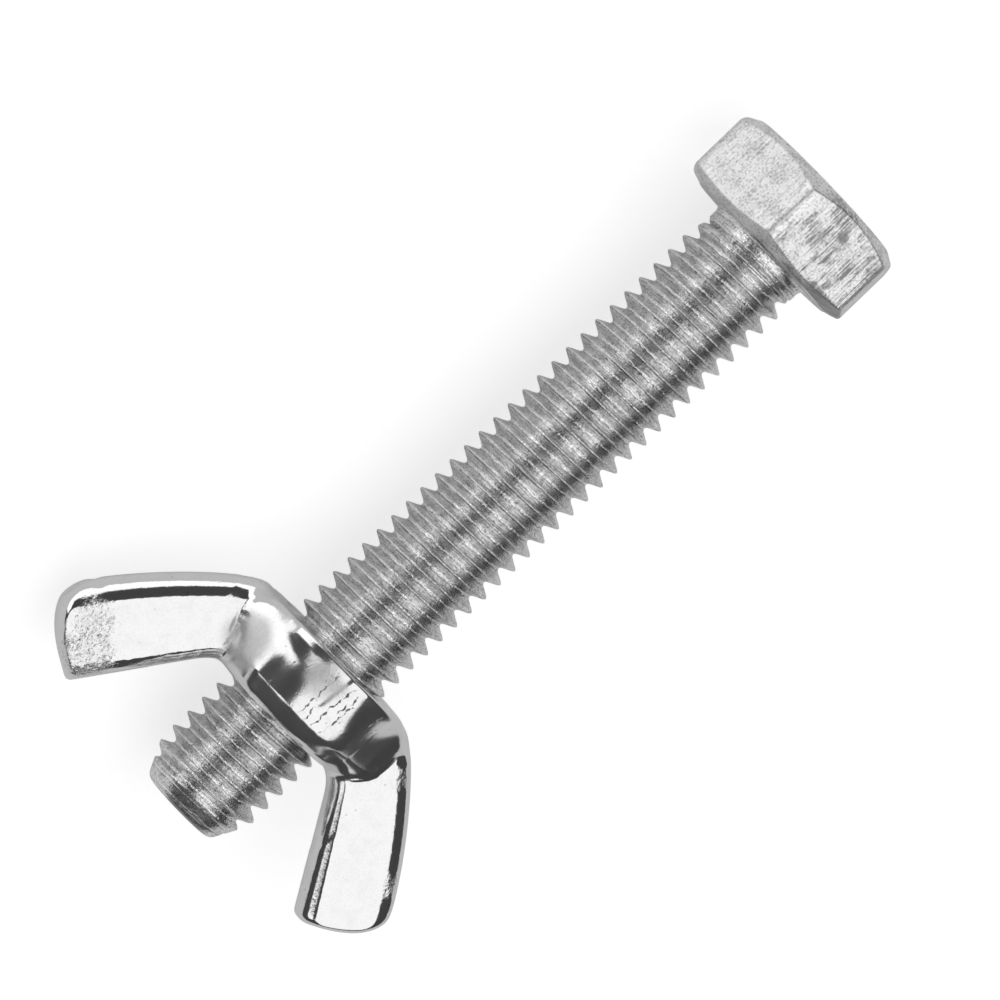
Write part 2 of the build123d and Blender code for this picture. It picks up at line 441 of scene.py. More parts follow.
def blank_outline():
    """The round blank's outline as run and radius, from the top face to the neck.

    It stops short of the axis, so that a flat cap closes each end and no fine spokes meet there.
    """
    top_fall = (HEX_CORNER - TOP_FACE_RADIUS) * tan(TOP_CHAMFER_ANGLE)
    under_fall = (HEX_CORNER - UNDER_EDGE_RADIUS) * tan(UNDERSIDE_ANGLE)
    return [
        (-HEAD_HEIGHT, PIN_HOLE),
        (-HEAD_HEIGHT, TOP_FACE_RADIUS),
        (-HEAD_HEIGHT + top_fall, HEX_CORNER),
        (-UNDER_EDGE_HEIGHT - under_fall, HEX_CORNER),
        (-UNDER_EDGE_HEIGHT, UNDER_EDGE_RADIUS),
        (-WASHER_FACE_HEIGHT, WASHER_FACE_RADIUS),
        (0, WASHER_FACE_RADIUS - WASHER_FACE_BEVEL),
        (0, NECK_RADIUS + UNDER_HEAD_RADIUS),
        (UNDER_HEAD_RADIUS * 0.3, NECK_RADIUS + UNDER_HEAD_RADIUS * 0.3),
        (UNDER_HEAD_RADIUS, NECK_RADIUS),
        (NECK_LENGTH - NECK_CHAMFER / 2, NECK_RADIUS),
        (NECK_LENGTH + NECK_CHAMFER / 2, NECK_RADIUS - NECK_CHAMFER),
        (NECK_LENGTH + NECK_CHAMFER / 2, PIN_HOLE),
    ]


def closely(outline):
    """The outline with evenly spaced points along each of its straight runs."""
    points = [np.array(outline[0])]
    for first, second in zip(np.array(outline), np.array(outline[1:])):
        count = max(1, round(np.linalg.norm(second - first) / HEAD_SPACING))
        points += [first + (second - first) * step / count for step in range(1, count + 1)]
    return points


bm = bmesh.new()
add_outline(bm, BEARING_X, closely(blank_outline()))
spin_round(bm, HEAD_STEPS)
cap_holes(bm)
head_piece = finish_piece("head", bm)
print("blank", round(2 * HEX_CORNER, 2), "mm across")

# %% Hexagon of the head
HEX_CORNER_ROUNDING = 0.05
HEX_EDGE_ROUNDING = 0.16
HEX_END = -0.05

points = read_points(head_piece.data)
run, radius, angle = to_round(points, BEARING_X)
facing = np.sort(np.cos(angle[:, None] - np.arange(6) * pi / 3), axis=1)
hexagon = ACROSS_FLATS / 2 / soft_max(facing[:, 5], facing[:, 4], HEX_CORNER_ROUNDING)
radius = np.where(run < HEX_END, soft_min(radius, hexagon, HEX_EDGE_ROUNDING), radius)
write_points(head_piece.data, from_round(run, radius, angle, BEARING_X))
print("head triangles", triangles(head_piece))

# %% Join the bolt


def joined(name, pieces):
    """One mesh made of several closed shells."""
    bm = bmesh.new()
    for piece in pieces:
        bm.from_mesh(piece.data)
        bpy.data.objects.remove(piece)
    return finish_piece(name, bm)


bolt = joined("rolled_bolt", [thread_piece, head_piece])
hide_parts("hex_bolt")
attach(bolt, "bolt")
print("bolt triangles", triangles(bolt))

# %% [markdown]
# ## The wing nut: hub
# The nut was struck from one hot lump. Its hub is a turned form with a flared foot, and it swells out to meet
# each wing. A spin makes the ring. Then each vertex is moved out to the swell: a flat shoulder turned away
# from the wing, and a ramp that falls from it to the wing's face, with soft corners where they meet. It is
# all worked out in the nut's own terms: height above its bearing face, reach along its wings, and lift off
# the plane that the wings lie in.

# %% The nut's own terms
NUT_TURN = radians(10)

wing_direction = Vector((0, cos(NUT_TURN), sin(NUT_TURN)))
panel_direction = Vector((0, -sin(NUT_TURN), cos(NUT_TURN)))


def to_nut(points):
    """Splits points into height above the bearing face, reach along the wings and lift off their plane."""
    offset = (points - np.array(ON_AXIS)) / MM
    height = offset[:, 0] - NUT_X / MM
    return height, offset @ np.array(wing_direction), offset @ np.array(panel_direction)


def from_nut(height, reach, lift):
    """The reverse of to_nut."""
    place = np.outer(reach, wing_direction) + np.outer(lift, panel_direction)
    place[:, 0] += height + NUT_X / MM
    return place * MM + np.array(ON_AXIS)


print("wings point along", [round(part, 3) for part in wing_direction])

# %% Swell of the hub towards each wing
PANEL_HALF = 1.43
SHOULDER_TILT = {1: radians(16), -1: radians(24)}
SHOULDER_OUT = 5.3
RAMP_HINGE = (3.88, 4.31)
RAMP_TILT_LOW, RAMP_TILT_HIGH = radians(42), radians(57)
RAMP_LOW, RAMP_HIGH = 1.2, 5.2
APRON_TILT, APRON_OUT, APRON_SLOPE = radians(8), 6.2, 0.34
SCOOP_TILT = radians(38)
SCOOP_END, SCOOP_HIGH, SCOOP_CURVE = 7.2, 3.1, 0.33
SOFT_CORNER, FIRM_CORNER = 0.5, 0.3


def leaning(out, tilt, angle):
    """Radius of a flat face this far out from the axis, which faces this way."""
    return out / np.cos(np.clip(angle - tilt, -1.4, 1.4))


def ramp_end(side, height):
    """How far along a wing its swell reaches before it sinks into the wing's flat face."""
    if side > 0:
        curl = SCOOP_CURVE * np.maximum(height - SCOOP_HIGH, 0) ** 2
        return SCOOP_END - curl
    tilt, out = low_ramp(height)
    return (out - PANEL_HALF * np.cos(tilt)) / np.sin(tilt)


def low_ramp(height):
    """Tilt and distance of the ramp on the low wing's side, which hinges on the shoulder's edge."""
    tilt = RAMP_TILT_LOW + (RAMP_TILT_HIGH - RAMP_TILT_LOW) * smooth_step(RAMP_LOW, RAMP_HIGH, height)
    return tilt, RAMP_HINGE[0] * np.cos(tilt) + RAMP_HINGE[1] * np.sin(tilt)


def swell(side, angle, height):
    """How far the hub swells towards a wing: a shoulder, then a ramp down to the wing's face."""
    shoulder = SHOULDER_OUT / np.cos(np.clip(angle - SHOULDER_TILT[side], 0, pi / 3))
    if side > 0:
        apron = leaning(APRON_OUT - APRON_SLOPE * height, APRON_TILT, angle)
        shoulder = soft_max(shoulder, apron, SOFT_CORNER)
        out = ramp_end(side, height) * sin(SCOOP_TILT) + PANEL_HALF * cos(SCOOP_TILT)
        ramp = leaning(out, SCOOP_TILT, angle)
    else:
        tilt, out = low_ramp(height)
        ramp = leaning(out, tilt, angle)
    end = ramp_end(side, height) / np.maximum(np.sin(angle), 0.2)
    return soft_min(soft_min(shoulder, ramp, FIRM_CORNER), end, SOFT_CORNER)


for side, name in ((1, "higher"), (-1, "lower")):
    end = float(ramp_end(side, np.array(3.0)))
    print("on the", name, "wing the hub's swell ends", round(end, 2), "mm from the axis")

# %% Hub of the nut
BORE_RADIUS = 3.98
BORE_MOUTH = 4.28
HUB_HEIGHT = 5.45
HUB_RADIUS = 5.3
HUB_STEPS = 240
BORE_EDGE = BORE_MOUTH + 0.05
FOOT_LIMIT, FOOT_SPREAD = 5.9, 1.3
HUB_OUTLINE = [
    (0.35, BORE_RADIUS), (5.17, BORE_RADIUS), (5.45, BORE_MOUTH), (5.42, 4.33), (5.05, 4.7),
    (3.95, 5.27), (3.2, 5.29), (2.4, 5.4), (1.5, 5.65), (0.6, 5.98), (0.35, 6.03), (0.12, 5.99),
    (0, 5.85), (0, BORE_MOUTH),
]

bm = bmesh.new()
add_outline(bm, NUT_X, HUB_OUTLINE, closed=True)
bmesh.ops.subdivide_edges(bm, edges=bm.edges[:], cuts=3)
spin_round(bm, HUB_STEPS)
hub_piece = finish_piece("hub", bm)
height, reach, lift = to_nut(read_points(hub_piece.data))
radius = np.hypot(reach, lift)
angle = np.arctan2(np.abs(reach), np.abs(lift))
swollen = np.where(reach > 0, swell(1, angle, height), swell(-1, angle, height))
swollen += np.minimum(radius - HUB_RADIUS, 0)
swollen = np.minimum(swollen, FOOT_LIMIT + FOOT_SPREAD * height)
grown = np.where(radius > BORE_EDGE, soft_max(radius, swollen, FIRM_CORNER) / radius, 1)
reach, lift = reach * grown, lift * grown
write_points(hub_piece.data, from_nut(height, reach, lift))
print("hub faces", len(hub_piece.data.polygons))

# %% [markdown]
# ## The wing nut: wings
# A wing is a flat pillow: two sheets that close on each other round a rounded rim. One grid serves for both
# sheets. Its outer side follows an arc, its inner side a straight edge that curls into the hub, and its
# thickness dies away towards each side like a quarter of an ellipse, wide at the rims and narrow at the end.
# A bevelled plate would be simpler, but its bevel would have one width all round.

# %% Edges of a wing
WING_ROOT = 4.45
WING_FOOT = Vector((6.1, 0.05))
WING_TIP = Vector((14.95, 9.1))
WING_TOP = Vector((10.65, 13.3))
OUTER_BULGE = 1.9
OUTER_BULGE_POWERS = (0.45, 0.65)
INNER_SLOPE = radians(56)
CREASE_RUN = 1.5
CREASE_SHARE, ROOT_SHARE = 0.2, 0.1


def inner_edge(share):
    """A point on the inner edge, from inside the hub, round the crease and up the straight edge."""
    rise = Vector((cos(INNER_SLOPE), sin(INNER_SLOPE)))
    foot = WING_TOP - rise * ((WING_TOP.y - HUB_HEIGHT) / rise.y)
    crease_end = foot + rise * CREASE_RUN
    start = Vector((WING_ROOT, HUB_HEIGHT - 0.1))
    t = np.clip(share / CREASE_SHARE, 0, 1)[:, None]
    curl = np.array(start) * (1 - t) ** 2 + np.array(foot) * 2 * t * (1 - t) + np.array(crease_end) * t**2
    t = np.clip((share - CREASE_SHARE) / (1 - CREASE_SHARE), 0, 1)[:, None]
    straight = np.array(crease_end) * (1 - t) + np.array(WING_TOP) * t
    return np.where(share[:, None] < CREASE_SHARE, curl, straight)


def outer_edge(share):
    """A point on the outer edge, from inside the hub, over the full foot and up to the tip."""
    chord = WING_TIP - WING_FOOT
    outward = np.array((chord.y, -chord.x)) / chord.length
    rise, fall = OUTER_BULGE_POWERS
    t = np.clip((share - ROOT_SHARE) / (1 - ROOT_SHARE), 0, 1)[:, None]
    edge = np.array(WING_FOOT) + np.array(chord) * t + outward * (OUTER_BULGE * t**rise * (1 - t) ** fall)
    t = np.clip(share / ROOT_SHARE, 0, 1)[:, None]
    root = np.array((WING_ROOT, WING_FOOT.y)) * (1 - t) + np.array(WING_FOOT) * t
    return np.where(share[:, None] < ROOT_SHARE, root, edge)


print("wing", round((WING_TIP - WING_TOP).length, 2), "mm wide at its end")

# %% One sheet of a wing
WING_HALF = 1.55
OUTER_RIM = 2.2
INNER_RIM = 2.0
END_RIM = 0.55
END_BULGE = 3.15
END_BULGE_POWERS = (0.8, 1.3)
WING_SKEW = radians(1.5)
TIP_CORNER = {1: 0.2, -1: 0.9}
TOP_CORNER = {1: 0.8, -1: 0.3}
WING_GRID = 96


def quarter(distance, width):
    """Share of the full thickness at this distance from an edge whose rim is this wide."""
    left = 1 - np.clip(distance / width, 0, 1)
    return np.sqrt(1 - left * left)


def rounded_corner(along, across, radius):
    """Draws the distances from two edges in round a corner, as a square is drawn onto a disc."""
    x, y = np.clip(1 - along / radius, 0, 1), np.clip(1 - across / radius, 0, 1)
    near = (x > 0) & (y > 0)
    new_x, new_y = x * np.sqrt(1 - y * y / 2), y * np.sqrt(1 - x * x / 2)
    return np.where(near, radius * (x - new_x), 0), np.where(near, radius * (y - new_y), 0)


def wing_sheet(side, face):
    """One sheet of a wing, as an object. Side is which wing, and face which of its faces."""
    bm = bmesh.new()
    bmesh.ops.create_grid(bm, x_segments=2 * WING_GRID, y_segments=WING_GRID, size=1)
    sheet = finish_piece("wing_sheet", bm)
    grid = read_points(sheet.data)
    share = np.sin((grid[:, 0] + 1) * pi / 4)
    inward = (1 - np.cos((grid[:, 1] + 1) * pi / 2)) / 2
    outer, inner = outer_edge(share), inner_edge(share)
    width = np.linalg.norm(inner - outer, axis=1)
    end_axis = np.array((WING_TIP + WING_TOP) / 2 - (WING_FOOT + Vector((WING_ROOT, HUB_HEIGHT))) / 2)
    length = np.linalg.norm(end_axis)
    end_axis = end_axis / length
    plane = outer + (inner - outer) * inward[:, None]
    rise, fall = END_BULGE_POWERS
    plane += np.outer(END_BULGE * inward**rise * (1 - inward) ** fall * share**6, end_axis)
    to_end = (1 - share) * length
    to_outer, to_inner = inward * width, (1 - inward) * width
    across = (inner - outer) / width[:, None]
    for distance, radius, sign in ((to_outer, TIP_CORNER[side], 1), (to_inner, TOP_CORNER[side], -1)):
        back, aside = rounded_corner(to_end, distance, radius)
        plane += across * (sign * aside)[:, None] - np.outer(back, end_axis)
    lift = WING_HALF * quarter(to_outer, OUTER_RIM) * quarter(to_inner, INNER_RIM) * quarter(to_end, END_RIM)
    middle = HUB_HEIGHT / 2
    reach = plane[:, 0] * cos(WING_SKEW) - side * (plane[:, 1] - middle) * sin(WING_SKEW)
    height = middle + (plane[:, 1] - middle) * cos(WING_SKEW) + side * plane[:, 0] * sin(WING_SKEW)
    write_points(sheet.data, from_nut(height, side * reach, face * lift))
    return sheet


# %% Two wings of two sheets each
SHEET_WELD = 0.004 * MM


def sealed(pieces):
    """Joins pieces, merges the edges where they meet and caps what is still open."""
    bm = bmesh.new()
    for piece in pieces:
        bm.from_mesh(piece.data)
        bpy.data.objects.remove(piece)
    bmesh.ops.remove_doubles(bm, verts=bm.verts, dist=SHEET_WELD)
    cap_holes(bm)
    return finish_piece("wing", bm)


wings = [sealed([wing_sheet(side, 1), wing_sheet(side, -1)]) for side in (1, -1)]
print("wing faces", [len(wing.data.polygons) for wing in wings])

# %% [markdown]
# ## The wing nut: one skin
# Hub and wings overlap, and the voxel remesh turns them into one even skin of small cells. A union would keep
# a hard seam between them, while relaxing this skin melts them into each other, as hot metal fills a die.
# The flat of each wing is pressed back in later, which leaves a crisp line round it. The remesh works best
# on numbers near one, so the blank is in millimetres while it runs.

# %% Voxel skin
SKIN_CELL = 0.103

blank = joined("nut_blank", [hub_piece, *wings])
blank.data.transform(Matrix.Scale(1 / MM, 4))
skin = blank.modifiers.new("skin", "REMESH")
skin.mode = "VOXEL"
skin.voxel_size = SKIN_CELL
skinned = bpy.data.meshes.new_from_object(blank.evaluated_get(bpy.context.evaluated_depsgraph_get()))
bpy.data.objects.remove(blank)
bm = bmesh.new()
bm.from_mesh(skinned)
bpy.data.meshes.remove(skinned)
bmesh.ops.scale(bm, verts=bm.verts, vec=Vector((1, 1, 1)) * MM)
print("skin faces", len(bm.faces))

# %% Melting wings and hub together
SKIN_RELAX = 5
JOINT_RELAX = 32
JOINT_REACH = (4.2, 8.0)
JOINT_RADIUS = 4.6


def relax(bm, verts, times):
    for _ in range(times):
        bmesh.ops.smooth_vert(bm, verts=verts, factor=0.5, use_axis_x=True, use_axis_y=True, use_axis_z=True)


def near_joint(vert):
    """Where a wing meets the hub, outside the bore."""
    offset = (vert.co - ON_AXIS) / MM
    reach, lift = abs(offset.dot(wing_direction)), abs(offset.dot(panel_direction))
    return JOINT_REACH[0] < reach < JOINT_REACH[1] and (reach**2 + lift**2) ** 0.5 > JOINT_RADIUS


relax(bm, bm.verts[:], SKIN_RELAX)
joint_points = [vert for vert in bm.verts if near_joint(vert)]
relax(bm, joint_points, JOINT_RELAX)
print("melted", len(joint_points), "of", len(bm.verts), "points")
skin_piece = finish_piece("nut_skin", bm)

# %% [markdown]
# ## The wing nut: its thread
# A tap cuts the nut's thread after the forging, so it is the bolt's own helix seen from outside: one ridge
# that runs in the bolt's groove with a little play. It is a second closed shell whose foot is sunk in the
# wall of the bore, because grooves cut into the skin's small cells would come out ragged. The spin climbs at
# the bolt's pitch. Both ends are cut off square, and a cone at each mouth of the bore thins the last turn,
# as a countersink does.

# %% Thread of the nut
RIDGE_PROFILE = [(-0.56, 4.1), (-0.222, 3.36), (0.222, 3.36), (0.56, 4.1)]
RIDGE_STEPS = 72
RIDGE_TURNS = 7
RIDGE_MARGIN = 0.25

nut_run = (NUT_X - BEARING_X) / MM
ridge_run = first_run + PITCH * (int((nut_run - first_run) / PITCH) - 0.5)
bm = bmesh.new()
add_outline(bm, BEARING_X, [(ridge_run + along, radius) for along, radius in RIDGE_PROFILE], closed=True)
spin_round(bm, RIDGE_STEPS, turns=RIDGE_TURNS, climb=PITCH)
cut_ends(bm, NUT_X + RIDGE_MARGIN * MM, NUT_X + (HUB_HEIGHT - RIDGE_MARGIN) * MM)
cap_holes(bm)
ridge_piece = finish_piece("nut_thread", bm)
run, radius, angle = to_round(read_points(ridge_piece.data), NUT_X)
radius = np.maximum(radius, BORE_MOUTH - np.minimum(run, HUB_HEIGHT - run))
write_points(ridge_piece.data, from_round(run, radius, angle, NUT_X))
print("nut thread faces", len(ridge_piece.data.polygons), "radius from", round(float(radius.min()), 3))
nut = joined("forged_wing_nut", [skin_piece, ridge_piece])

# %% [markdown]
# ## The wing nut: flats
# The die has two flat plates that squeeze each wing, so its faces are truly flat up to the line where the
# hub's swell ends. Clipping the lift of every point beyond that line does the same: what stood proud of the
# plates lands on them, and the rest stays.

# %% Flats of the wings
PLATE_OVERLAP = 0.1

height, reach, lift = to_nut(read_points(nut.data))
root = np.where(reach > 0, ramp_end(1, height), ramp_end(-1, height)) - PLATE_OVERLAP
pressed = np.where(np.abs(reach) > root, PANEL_HALF, WING_TIP.x)
lift = np.clip(lift, -pressed, pressed)
write_points(nut.data, from_nut(height, reach, lift))
print("points on the flats", int((np.abs(lift) == PANEL_HALF).sum()))

# %% [markdown]
# ## Marks of the forging
# Hot metal doesn't fill a die evenly. It leaves the hub slightly wavy, folds over itself where a wing leaves
# the hub, and keeps a rough patch of scale where it was struck last. These marks are too large to be only
# in the finish, so they move the skin itself, along its own normals. The waves are smooth noise, and each
# fold or dent is one soft oval at a given place.

# %% Waves, folds and dents
WAVE_SIZE, WAVE_DEPTH, WAVE_SEED = 2.1, 0.026, 3.7
WAVE_REACH = (5.2, 6.6)
CALM_SIDE, CALM_REACH = 0.25, (1.0, 3.0)
PEEL_SIZE, PEEL_DEPTH, PEEL_SEED = 0.33, 0.03, 11.3
PEEL_MIDDLE, PEEL_SPAN, PEEL_EDGE = (10.6, -11.2), (1.1, 1.45), (1.3, 2.1)
BORE_KEPT = BORE_MOUTH + 0.2
MARKS = [
    # side of the nut, face, height, reach, half length, half width, turn in degrees, depth
    (-1, 1, 3.3, 6.05, 0.75, 0.26, -32, 0.42),
    (-1, 1, 4.5, 5.6, 0.5, 0.12, -25, 0.12),
    (-1, 1, 4.2, 5.25, 0.8, 0.09, -12, 0.06),
    (-1, 1, 2.3, 6.5, 0.22, 0.16, 40, 0.16),
    (-1, 0, 7.3, 14.15, 0.3, 0.16, 50, 0.1),
    (-1, 0, 1.1, 6.75, 0.1, 0.1, 0, 0.07),
    (-1, 0, 0.85, 6.6, 0.08, 0.09, 0, 0.06),
    (1, 1, 3.3, 7.35, 0.7, 0.08, 78, 0.06),
    (1, 0, 8.2, 13.5, 0.7, 0.25, 52, -0.08),
    (1, -1, 3.4, 6.4, 0.6, 0.16, 70, 0.15),
    (-1, -1, 3.0, 6.2, 0.5, 0.14, 65, 0.12),
]


def waves(points, size, seed):
    """Smooth noise between about -1 and 1 at each point, with features of this size."""
    scaled = points / size + seed
    return np.array([noise.noise(Vector(point)) for point in scaled]) * 2


def press_marks(height, reach, lift):
    """How far each point of the skin sinks, in millimetres."""
    depth = np.zeros(len(height))
    around = np.where(np.hypot(reach, lift) > BORE_KEPT)[0]
    place = np.stack([height, reach, lift], axis=1)
    hub = 1 - smooth_step(*WAVE_REACH, np.abs(reach[around]))
    calm = 1 - (1 - CALM_SIDE) * smooth_step(*CALM_REACH, reach[around])
    depth[around] = hub * calm * WAVE_DEPTH * waves(place[around], WAVE_SIZE, WAVE_SEED)
    off_height, off_reach = (height - PEEL_MIDDLE[0]) / PEEL_SPAN[0], (reach - PEEL_MIDDLE[1]) / PEEL_SPAN[1]
    edge = 1 - smooth_step(*PEEL_EDGE, np.hypot(off_height, off_reach))
    peel = np.where((edge > 0) & (lift > 1.2))[0]
    depth[peel] += edge[peel] * PEEL_DEPTH * waves(place[peel], PEEL_SIZE, PEEL_SEED)
    for side, face, rise, out, half_length, half_width, turn, deep in MARKS:
        over = height - rise, side * reach - out
        along = over[0] * cos(radians(turn)) + over[1] * sin(radians(turn))
        aside = over[1] * cos(radians(turn)) - over[0] * sin(radians(turn))
        near = np.exp(-((along / half_length) ** 2) - (aside / half_width) ** 2)
        on_face = np.where(face * lift > 0.5, 1, 0) if face else 1
        depth += deep * near * on_face * (np.hypot(reach, lift) > BORE_KEPT)
    return depth


# %% Press the marks into the nut
normals = np.zeros(len(nut.data.vertices) * 3)
nut.data.vertices.foreach_get("normal", normals)
sunk = press_marks(height, reach, lift)
points = read_points(nut.data) - normals.reshape(-1, 3) * sunk[:, None] * MM
write_points(nut.data, points)
print("marks sink the skin by up to", round(float(sunk.max()), 3), "mm")
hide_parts("wing_nut")
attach(nut, "nut")
print("nut triangles", triangles(nut))

# %% [markdown]
# ## Building blocks for the finishes
# Both pieces are zinc over steel, so they share their small effects: grain, streaks and pits. Fine cracks
# are the nut's alone, but there are several of them. Each effect is a node group with named sockets, built
# once and placed with the values that suit that piece. Sizes in the groups are in millimetres.

# %% Node helpers


def feed(tree, socket, value):
    """Sets a socket to a number, or links another socket to it."""
    if isinstance(value, bpy.types.NodeSocket):
        tree.links.new(value, socket)
    else:
        socket.default_value = value


def calc(tree, operation, *values):
    """A Math node on numbers or sockets. Gives its result."""
    node = add(tree, "ShaderNodeMath", operation=operation)
    for socket, value in zip(node.inputs, values):
        feed(tree, socket, value)
    return node.outputs[0]


def ramp(tree, value, low, high, start=0.0, end=1.0):
    """A smooth rise from start to end while the value goes from low to high."""
    node = add(tree, "ShaderNodeMapRange", interpolation_type="SMOOTHSTEP")
    for socket, number in zip(node.inputs, (value, low, high, start, end)):
        feed(tree, socket, number)
    return node.outputs[0]


def vector(tree, *parts):
    """Three numbers or sockets as one vector."""
    node = add(tree, "ShaderNodeCombineXYZ")
    for socket, value in zip(node.inputs, parts):
        feed(tree, socket, value)
    return node.outputs[0]


def noise_of(tree, place, scale, detail=2.0, roughness=0.5):
    """Soft noise between 0 and 1 at each place."""
    node = add(tree, "ShaderNodeTexNoise", Detail=detail, Roughness=roughness)
    feed(tree, node.inputs["Vector"], place)
    feed(tree, node.inputs["Scale"], scale)
    return node.outputs["Fac"]


# %% Group helpers


def new_group(name, inputs, outputs):
    """An empty node group with these sockets, and its two end nodes."""
    tree = bpy.data.node_groups.new(name, "ShaderNodeTree")
    for socket_name, kind in inputs:
        tree.interface.new_socket(socket_name, in_out="INPUT", socket_type="NodeSocket" + kind)
    for socket_name in outputs:
        tree.interface.new_socket(socket_name, in_out="OUTPUT", socket_type="NodeSocketFloat")
    return tree, tree.nodes.new("NodeGroupInput").outputs, tree.nodes.new("NodeGroupOutput").inputs


def put(tree, group, **values):
    """Places a group, with a value or socket for each of its inputs. Gives its outputs."""
    node = tree.nodes.new("ShaderNodeGroup")
    node.node_tree = group
    for name, value in values.items():
        feed(tree, node.inputs[name.replace("_", " ")], value)
    return node.outputs


# %% Group: where a point lies round the bolt's axis
round_place, given, gives = new_group("round_place", [("Position", "Vector")], ["Run", "Turn", "Radius"])
split = add(round_place, "ShaderNodeSeparateXYZ")
feed(round_place, split.inputs[0], given["Position"])
up = calc(round_place, "SUBTRACT", split.outputs["Z"], AXIS_Z)
feed(round_place, gives["Run"], calc(round_place, "DIVIDE", split.outputs["X"], MM))
feed(round_place, gives["Turn"], calc(round_place, "ARCTAN2", split.outputs["Y"], up))
squares = [calc(round_place, "MULTIPLY", value, value) for value in (split.outputs["Y"], up)]
distance = calc(round_place, "SQRT", calc(round_place, "ADD", *squares))
feed(round_place, gives["Radius"], calc(round_place, "DIVIDE", distance, MM))

# %% Group: grain, fine and cloudy
grain, given, gives = new_group("grain", [("Position", "Vector"), ("Size", "Float")], ["Fine", "Cloud"])
fine_scale = calc(grain, "DIVIDE", 1 / MM, given["Size"])
cloud_scale = calc(grain, "DIVIDE", fine_scale, 7)
feed(grain, gives["Fine"], noise_of(grain, given["Position"], fine_scale, detail=3))
feed(grain, gives["Cloud"], noise_of(grain, given["Position"], cloud_scale, detail=4, roughness=0.6))

# %% Group: streaks
streak_sockets = [(name, "Float") for name in ("Along", "Across", "Lift", "Length", "Width")]
streaks, given, gives = new_group("streaks", streak_sockets, ["Height", "Scratch"])
long_way = calc(streaks, "DIVIDE", given["Along"], given["Length"])
wide_way = calc(streaks, "DIVIDE", given["Across"], given["Width"])
high_way = calc(streaks, "DIVIDE", given["Lift"], given["Width"])
stretched = vector(streaks, long_way, wide_way, high_way)
line = noise_of(streaks, stretched, 1.0, detail=3, roughness=0.65)
feed(streaks, gives["Height"], line)
rare = noise_of(streaks, stretched, 0.37, detail=1)
feed(streaks, gives["Scratch"], ramp(streaks, rare, 0.62, 0.72))

# %% Group: pits
pits, given, gives = new_group(
    "pits", [("Position", "Vector"), ("Size", "Float"), ("Share", "Float")], ["Mask"]
)
cells = add(pits, "ShaderNodeTexVoronoi", feature="F1")
feed(pits, cells.inputs["Vector"], given["Position"])
feed(pits, cells.inputs["Scale"], calc(pits, "DIVIDE", 0.33 / MM, given["Size"]))
hole = ramp(pits, cells.outputs["Distance"], 0.12, 0.34, 1.0, 0.0)
pick = add(pits, "ShaderNodeSeparateColor")
feed(pits, pick.inputs[0], cells.outputs["Color"])
chosen = calc(pits, "LESS_THAN", pick.outputs[0], given["Share"])
feed(pits, gives["Mask"], calc(pits, "MULTIPLY", hole, chosen))

# %% Group: one fine crack
crack_sockets = [(name, "Float") for name in ("Along", "Across", "Centre", "Start", "End", "Width")]
crack, given, gives = new_group("crack", crack_sockets, ["Mask"])
seed = calc(crack, "MULTIPLY", given["Centre"], 7.3)
path_noise = noise_of(crack, vector(crack, given["Along"], seed, 0.0), 1.9, detail=3)
wander = calc(crack, "MULTIPLY", calc(crack, "SUBTRACT", path_noise, 0.5), 0.65)
offset = calc(crack, "SUBTRACT", calc(crack, "SUBTRACT", given["Across"], given["Centre"]), wander)
gap_noise = noise_of(crack, vector(crack, given["Along"], 3.1, seed), 2.6, detail=1)
open_width = calc(crack, "MULTIPLY", given["Width"], ramp(crack, gap_noise, 0.4, 0.62, 0.05, 1.3))
line = calc(crack, "SUBTRACT", 1.0, ramp(crack, calc(crack, "ABSOLUTE", offset), 0.0, open_width))
first = ramp(crack, calc(crack, "SUBTRACT", given["Along"], given["Start"]), 0.0, 0.4)
last = ramp(crack, calc(crack, "SUBTRACT", given["End"], given["Along"]), 0.0, 0.4)
feed(crack, gives["Mask"], calc(crack, "MULTIPLY", line, calc(crack, "MULTIPLY", first, last)))
print("node groups", [group.name for group in bpy.data.node_groups])

# %% [markdown]
# ## Satin zinc, for the bolt
# Rolling leaves fine lines along the turns of the thread, and a mottled seam at each crest and root, where
# the metal flowed together. The head keeps straight draw lines from end to end, with smudges on one flat,
# and painted shade darkens a band at its foot on one side. A painted reflection darkens a patch of the cone
# at the tip. The place round the bolt's axis tells the finish which of these to show. One sum of masks then
# gives the relief, another how dull the metal is, and a third its roughness.
# All of it is finer than a tenth of a millimetre, so it can stay in the finish and needs no more faces.

# %% Mixing helpers


def shade(tree, factor, first, second):
    """A grey that goes from the first tone to the second as the factor goes from 0 to 1."""
    node = add(tree, "ShaderNodeMix", data_type="RGBA")
    feed(tree, node.inputs[0], factor)
    node.inputs[6].default_value = (first, first, first, 1)
    node.inputs[7].default_value = (second, second, second, 1)
    return node.outputs[2]


def bump(tree, height, depth):
    """A bump this deep in millimetres."""
    node = add(tree, "ShaderNodeBump", Strength=1.0, Distance=depth * MM)
    feed(tree, node.inputs["Height"], height)
    return node.outputs[0]


def scaled(tree, value, factor):
    """A value times a number or another value."""
    return calc(tree, "MULTIPLY", value, factor)


def sum_of(tree, *parts, plus=0.0):
    """The sum of some values, each given with its weight, and a plain number."""
    total = plus
    for value, weight in parts:
        total = calc(tree, "ADD", scaled(tree, value, weight), total)
    return total


# %% Patches and plain metal


def patch(tree, position, middle, size, soft):
    """A soft round patch about a point, with its radius and the width of its edge in millimetres."""
    apart = add(tree, "ShaderNodeVectorMath", operation="DISTANCE")
    feed(tree, apart.inputs[0], position)
    apart.inputs[1].default_value = middle
    return ramp(tree, apart.outputs["Value"], (size - soft) * MM, (size + soft) * MM, 1.0, 0.0)


